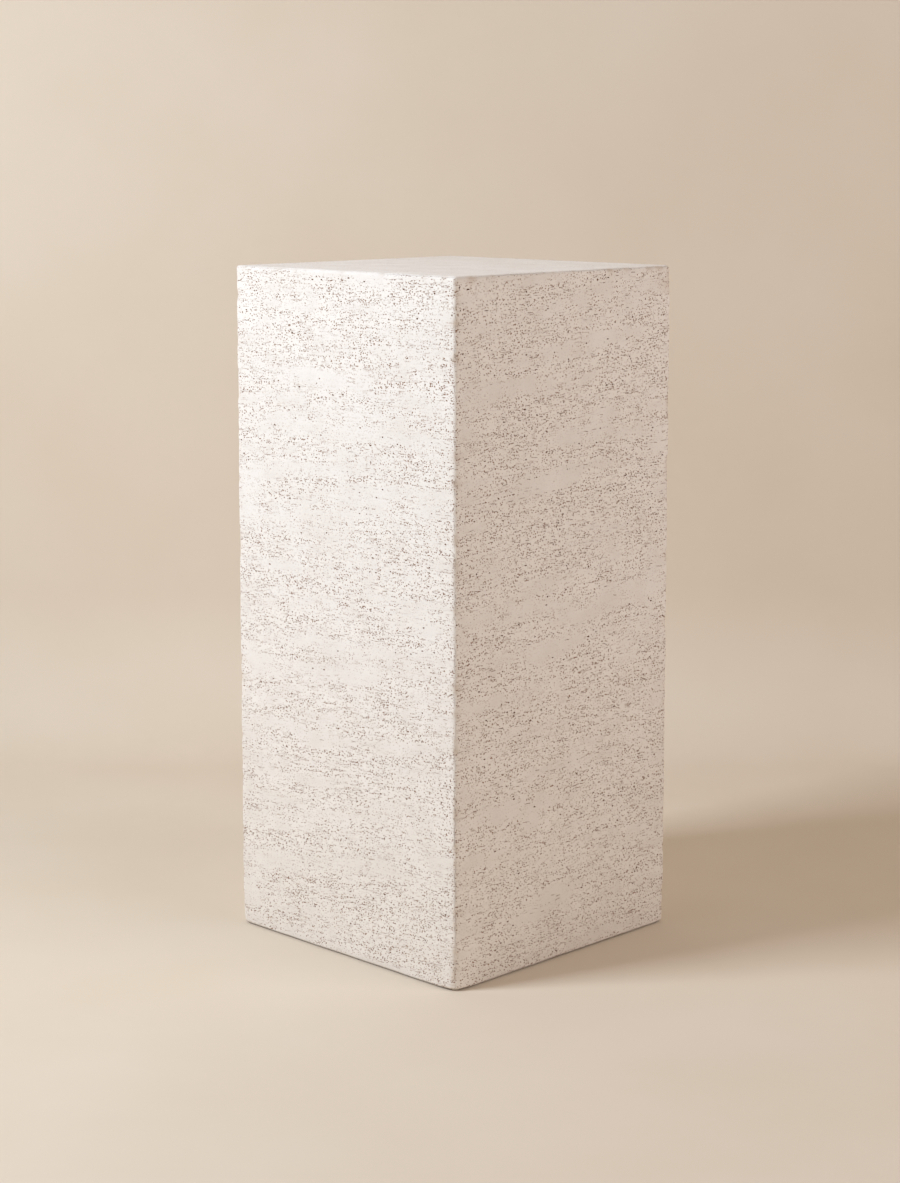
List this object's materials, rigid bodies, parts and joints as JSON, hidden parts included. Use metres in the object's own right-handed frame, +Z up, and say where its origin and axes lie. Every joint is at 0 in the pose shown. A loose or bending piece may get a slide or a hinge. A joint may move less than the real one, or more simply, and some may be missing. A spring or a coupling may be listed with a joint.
{
  "type": "decorative plinth",
  "caption": "Tall square plinth of pale cast stone with plain travertine-look sides, softened edges and a flat top, hollow and open underneath.",
  "frame": {"origin": "on the floor, under the middle of the plinth", "axes": "+Z up; +X and +Y square to the faces"},
  "size_m": [0.35, 0.35, 0.77],
  "materials": {
    "cast_stone": "dull off-white lime wash over pitted cast stone"
  },
  "bodies": {
    "root": {"plinth": "cast_stone"}
  },
  "joints": []
}
